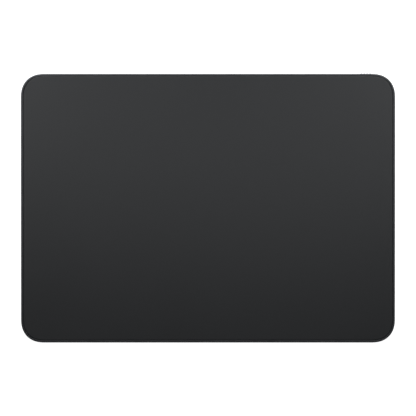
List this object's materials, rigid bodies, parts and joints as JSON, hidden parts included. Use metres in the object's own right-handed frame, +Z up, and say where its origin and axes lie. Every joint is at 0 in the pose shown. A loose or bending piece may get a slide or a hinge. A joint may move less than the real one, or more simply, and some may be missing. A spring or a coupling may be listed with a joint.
{
  "type": "trackpad",
  "caption": "Flat wedge-shaped desk trackpad: dark glass touch plate on bending springs with a haptic magnet, charging socket and slide power switch in the rear wall.",
  "frame": {"origin": "on the table, under the middle of the body", "axes": "+X to the user's right, +Y away from the user towards the thick end, +Z up"},
  "size_m": [0.16, 0.1151, 0.0109],
  "materials": {
    "anodised_shell": "satin",
    "cover_sheet": "matte",
    "bonding_film": "matte",
    "touch_glass": "satin",
    "circuit_board": "satin",
    "chip_package": "matte",
    "connector_plastic": "satin",
    "gel": "satin",
    "steel": "satin",
    "screw_steel": "satin",
    "copper_winding": "satin",
    "cell_foil": "matte",
    "shield_sheet": "satin",
    "gold_contact": "polished",
    "ribbon_film": "satin",
    "knob_plastic": "matte",
    "green_insert": "satin",
    "foot_rubber": "matte"
  },
  "bodies": {
    "housing": {"actuator_bracket": "steel", "actuator_coils": "copper_winding", "actuator_core": "steel", "actuator_flex": "ribbon_film", "actuator_screws": "screw_steel", "battery_adhesive": "bonding_film", "battery_board": "circuit_board", "battery_cell": "cell_foil", "battery_flex": "ribbon_film", "board_antenna": "shield_sheet", "board_connectors": "connector_plastic", "board_screws": "screw_steel", "bottom_cover": "cover_sheet", "charger_chip": "chip_package", "cover_adhesive": "bonding_film", "enclosure": "anodised_shell", "flexure_front_left": "steel", "flexure_front_right": "steel", "flexure_rear_left": "steel", "flexure_rear_right": "steel", "flexure_screws": "screw_steel", "foot_front_left": "foot_rubber", "foot_front_right": "foot_rubber", "foot_rear_left": "foot_rubber", "foot_rear_right": "foot_rubber", "logic_board": "circuit_board", "port_board": "circuit_board", "port_bracket": "steel", "port_contacts": "gold_contact", "port_flex": "ribbon_film", "port_screws": "screw_steel", "port_shell": "shield_sheet", "port_tongue": "connector_plastic", "processor_chip": "chip_package", "radio_shield": "shield_sheet", "sensor_flex": "ribbon_film", "strain_gauges": "chip_package", "switch_board": "circuit_board", "switch_flex": "ribbon_film", "switch_housing": "connector_plastic", "switch_screws": "screw_steel", "travel_stops": "gel"},
    "press_carriage": {"gel_carrier_front_left": "steel", "gel_carrier_front_right": "steel", "gel_carrier_rear_left": "steel", "gel_carrier_rear_right": "steel"},
    "touch_plate": {"cover_glass": "touch_glass", "glass_adhesive": "bonding_film", "sensor_board": "circuit_board", "touch_chips": "chip_package", "sensor_connector": "connector_plastic", "armature_plate": "steel", "gel_pads": "gel"},
    "power_switch": {"switch_knob": "knob_plastic", "switch_indicator": "green_insert", "switch_wiper": "gold_contact"}
  },
  "joints": [
    {"name": "touch_press", "type": "slide", "parent": "housing", "child": "press_carriage", "axis": [0, -0.0521, 0.9986], "range_m": [-0.0002, 0], "stiffness_N_per_m": 15000, "springref_m": 0.00006, "deforming": ["flexure_front_left", "flexure_front_right", "flexure_rear_left", "flexure_rear_right", "sensor_flex"]},
    {"name": "haptic_shift", "type": "slide", "parent": "press_carriage", "child": "touch_plate", "axis": [0, 0.9986, 0.0521], "range_m": [-0.00006, 0.00006], "stiffness_N_per_m": 10000, "deforming": ["gel_pads"]},
    {"name": "power_switch_slide", "type": "slide", "parent": "housing", "child": "power_switch", "axis": [1, 0, 0], "range_m": [-0.0028, 0]}
  ]
}
